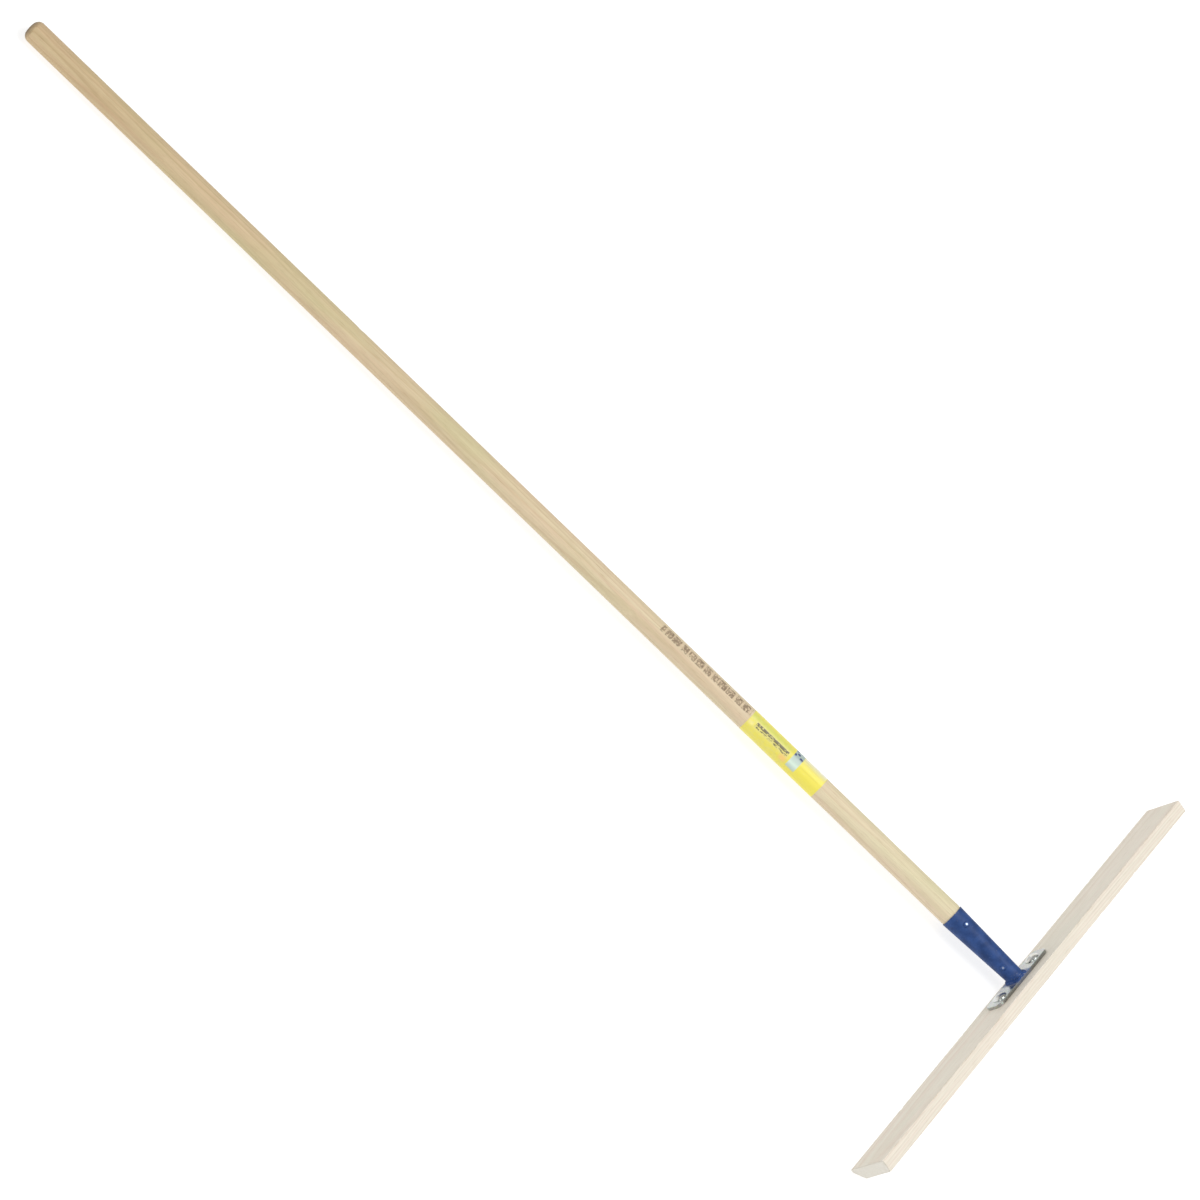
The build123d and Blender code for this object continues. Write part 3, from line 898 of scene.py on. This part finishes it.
def bolt_sizes():
    """Sizes of one carriage bolt, read off the CAD node in board space."""
    points = []
    for vertex in NODES["carriage_bolts"].data.vertices:
        offset = vertex.co - FOOT
        if offset.x < 0:
            points.append((-offset.x, offset.dot(BOARD_UP), offset.dot(FACE_NORMAL)))
    left, right = min(point[0] for point in points), max(point[0] for point in points)
    low, high = min(point[1] for point in points), max(point[1] for point in points)
    centre = ((left + right) / 2, (low + high) / 2)
    rings = [(math.hypot(x - centre[0], y - centre[1]), z) for x, y, z in points]
    end = min(z for _, z in rings)
    head = max(radius for radius, _ in rings)
    return {
        "centre": centre,
        "head": head,
        "rim": max(z for radius, z in rings if radius > head - WELD_DISTANCE),
        "top": max(z for _, z in rings),
        "shank": max(radius for radius, z in rings if z < -MM),
        "end": end,
        "tip": max(radius for radius, z in rings if z < end + WELD_DISTANCE),
    }


def bolt_rings(size):
    """(height, radius at an angle) of every ring, from the head's crown to the tip."""
    head, shank = size["head"], size["shank"]
    rise = size["top"] - size["rim"]
    sphere = (head**2 + rise**2) / (2 * rise)
    rings = []
    for index in range(1, DOME_RINGS + 1):
        radius = head * math.sin(math.pi / 2 * index / DOME_RINGS)
        height = size["top"] - sphere + math.sqrt(sphere**2 - radius**2)
        rings.append((height, lambda turn, radius=radius: radius))
    rings.append((BAR_TOP, lambda turn: head))

    def square(turn):
        return shank / max(abs(math.cos(turn)), abs(math.sin(turn)))

    def round_shank(_):
        return shank - NECK_STEP

    rings += [(BAR_TOP, square), (0.0, square), (0.0, round_shank), (SMOOTH_SHANK_END, round_shank)]
    pitch_step = THREAD_PITCH / RINGS_PER_PITCH
    for height in steps(-SMOOTH_SHANK_END + pitch_step, -size["end"], pitch_step):
        chamfered = size["tip"] - size["end"] - height
        start = ease(height, -SMOOTH_SHANK_END, -SMOOTH_SHANK_END + THREAD_PITCH)

        def thread(turn, height=height, chamfered=chamfered, start=start):
            place = (height / THREAD_PITCH + turn / math.tau) % 1
            groove = min(max(abs(2 * place - 1) * GROOVE_SLOPE - CREST_FLAT, 0.0), 1.0)
            return min(shank - THREAD_DEPTH * groove * start, chamfered)

        rings.append((-height, thread))
    return rings


def threaded_bolts():
    """Two carriage bolts: low domed heads, square necks and rolled threads."""
    shape = bmesh.new()
    size = bolt_sizes()
    turns = [math.tau * index / BOLT_SIDES for index in range(BOLT_SIDES)]
    for side in (1, -1):
        x, y = size["centre"][0] * side, size["centre"][1]
        rings = []
        for height, radius in bolt_rings(size):
            ring = []
            for turn in turns:
                out = radius(turn)
                ring.append(board_point(x + out * math.cos(turn), y + out * math.sin(turn), height))
            rings.append(ring)
        skin(shape, rings)
    new_piece("threaded_bolts", shape, "carriage_bolts", bolt_steel(), sharp=40)


# ---------------------------------------------------------------- label
LABEL_ROW = 0.0020
LABEL_COLUMNS = 96
FILM = 0.00010
LIFT = 0.0007  # how far the wrap's loose corners stand off the handle
END_STRETCH = 0.006  # the wrap is ragged and loose this near its ends
LOOSE_TURN = 0.35  # the wrap is loose this near its seam, in radians
RAGGED = 0.0004


def wrapped_label():
    """A thin film round the handle, with slight creases, a cut edge and lifted corners."""
    offsets = [vertex.co - FOOT for vertex in NODES["handle_label"].data.vertices]
    outs = [offset - HANDLE_DIR * offset.dot(HANDLE_DIR) for offset in offsets]
    outer_radius = max(out.length for out in outs)
    last_turn = max(math.atan2(-out.x, out.dot(HANDLE_UP)) for out in outs)
    turns = [last_turn * (2 * index / LABEL_COLUMNS - 1) for index in range(LABEL_COLUMNS + 1)]
    outer, inner = [], []
    for distance in steps(*LABEL, LABEL_ROW):
        outer_row, inner_row = [], []
        for turn in turns:
            flat = Vector((distance, turn * HANDLE_RADIUS, 0.0))
            at_end = 1 - ease(min(distance - LABEL[0], LABEL[1] - distance), 0.0, END_STRETCH)
            ragged = at_end * lumps(flat, 90, 90, 1) * RAGGED
            inset = math.copysign(ragged, sum(LABEL) / 2 - distance)
            crease = (outer_radius - HANDLE_RADIUS - FILM) * lumps(flat, 45, 170, 1)
            loose = ease(abs(turn), last_turn - LOOSE_TURN, last_turn) * at_end
            radius = outer_radius - crease + LIFT * loose
            outer_row.append(handle_point(distance + inset, turn, radius))
            inner_row.append(handle_point(distance + inset, turn, radius - FILM))
        outer.append(outer_row)
        inner.append(inner_row)
    shape = bmesh.new()
    skin(shape, [out + back[::-1] for out, back in zip(outer, inner)])
    new_piece("wrapped_label", shape, "handle_label", label_film())


handle_pole()
planed_board()
weld_bead()
threaded_bolts()
wrapped_label()
dress(socket_paint(), "handle_socket")
dress(rivet_steel("socket_rivet_upper", 0.0012), "socket_rivet_upper")
dress(rivet_steel("socket_rivet_lower", 0.0010), "socket_rivet_lower")
dress(bar_steel(), "bracket_bar")
dress(bolt_steel(), "bolt_washers", "bolt_nuts")

# ---------------------------------------------------------------- stage
FLOOR_HALF = 30.0
FLOOR_DROP = 0.0002


def make_floor():
    """A wide pale floor that glows a little, so that only a faint shadow is left on it."""
    g = Graph("floor")
    coordinates = g.place((0, 0, 0), (0, 0, 0))
    tone = g.mix(g.noise(coordinates, 0.8, 2.0), rgb(0.400, 0.400, 0.397), rgb(0.410, 0.410, 0.410))
    g.set(Base_Color=tone, Roughness=0.85, Specular_IOR_Level=0.1)
    g.set(Emission_Color=rgb(1.0, 1.0, 1.0), Emission_Strength=0.73)
    corners = [(-1, -1), (1, -1), (1, 1), (-1, 1)]
    mesh = bpy.data.meshes.new("floor")
    points = [(x * FLOOR_HALF, y * FLOOR_HALF, -FLOOR_DROP) for x, y in corners]
    mesh.from_pydata(points, [], [(0, 1, 2, 3)])
    mesh.materials.append(g.material)
    floor = bpy.data.objects.new("floor", mesh)
    bpy.context.scene.collection.objects.link(floor)


def area_light(name, place, aim, size, power):
    """A round lamp of this width in metres and power in watts, turned to a point."""
    light = bpy.data.lights.new(name, "AREA")
    light.shape = "DISK"
    light.size = size
    light.energy = power
    lamp = bpy.data.objects.new(name, light)
    bpy.context.scene.collection.objects.link(lamp)
    lamp.location = place
    lamp.rotation_euler = (Vector(aim) - Vector(place)).to_track_quat("-Z", "Y").to_euler()


def make_lights():
    """White surroundings, a lamp above the board and one on the camera's side."""
    world = bpy.data.worlds.new("studio")
    bpy.context.scene.world = world
    world.use_nodes = True
    background = world.node_tree.nodes["Background"]
    background.inputs["Color"].default_value = rgb(1.0, 1.0, 1.0)
    background.inputs["Strength"].default_value = 0.46
    area_light("overhead", (0.3, -1.3, 3.6), (0, -0.5, 0), 2.6, 84)
    area_light("camera_side", (-3.2, 0.6, 3.0), (0, -0.3, 0), 2.2, 42)


VIEW_AIM = Vector((-0.0238, -0.1245, 0.020))
VIEW_BACK = Vector((-0.64692, 0.02023, 0.76229))
VIEW_UP = Vector((0.55518, 0.69777, 0.45265))
VIEW_DISTANCE = 8.157
VIEW_LENS = 213.97


def make_camera():
    """The photograph's view, fitted to the pole and the board's corners."""
    data = bpy.data.cameras.new("camera")
    data.lens = VIEW_LENS
    data.clip_end = 100.0
    camera = bpy.data.objects.new("camera", data)
    bpy.context.scene.collection.objects.link(camera)
    back = VIEW_BACK.normalized()
    right = VIEW_UP.cross(back).normalized()
    up = back.cross(right)
    turn = Matrix((right, up, back)).transposed().to_4x4()
    camera.matrix_world = Matrix.Translation(VIEW_AIM + back * VIEW_DISTANCE) @ turn
    bpy.context.scene.camera = camera


make_floor()
make_lights()
make_camera()
bpy.context.scene.view_settings.view_transform = "Standard"
